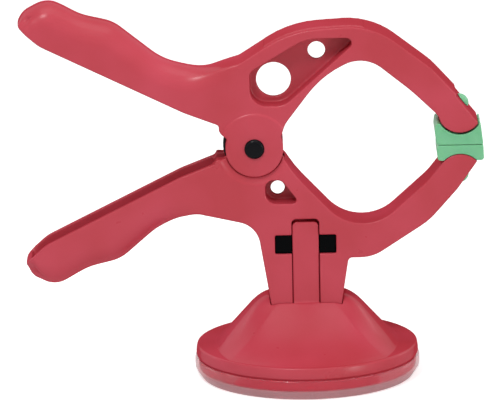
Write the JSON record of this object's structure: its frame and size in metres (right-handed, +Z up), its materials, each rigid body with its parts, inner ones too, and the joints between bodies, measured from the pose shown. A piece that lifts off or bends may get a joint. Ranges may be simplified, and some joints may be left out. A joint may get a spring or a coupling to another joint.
{
  "type": "suction base vise",
  "caption": "Spring-loaded clamp with C-shaped jaws, soft jaw pads and squeeze handles, standing on a domed base with a clear suction cup.",
  "frame": {"origin": "centre of the suction cup on its rest plane", "axes": "+Z up, +X towards the jaws, handles towards -X, -Y towards the pin's head"},
  "size_m": [0.1636, 0.08, 0.136],
  "materials": {
    "red_plastic": "moulded nylon, satin gloss",
    "green_pad": "soft satin elastomer",
    "black_steel": "black oxide, glossy",
    "black_plastic": "satin black",
    "spring_steel": "dark oiled wire",
    "clear_pvc": "clear soft PVC",
    "zinc_steel": "zinc plated"
  },
  "bodies": {
    "base": {"lower_arm": "red_plastic", "lower_pad": "green_pad", "pivot_pin": "black_steel", "pin_push_nut": "black_steel", "torsion_spring": "spring_steel", "lock_key": "black_plastic", "base_dome": "red_plastic", "suction_cup": "clear_pvc", "cup_stud": "zinc_steel", "stud_washer": "zinc_steel"},
    "upper_jaw": {"upper_arm": "red_plastic", "upper_pad": "green_pad"}
  },
  "joints": [
    {"name": "jaw_hinge", "type": "hinge", "parent": "base", "child": "upper_jaw", "pos_m": [-0.0175, 0, 0.084], "axis": [0, -1, 0], "range_deg": [0, 40], "stiffness_Nm_per_rad": 0.7, "springref_deg": -85.94, "deforming": ["torsion_spring"]}
  ]
}
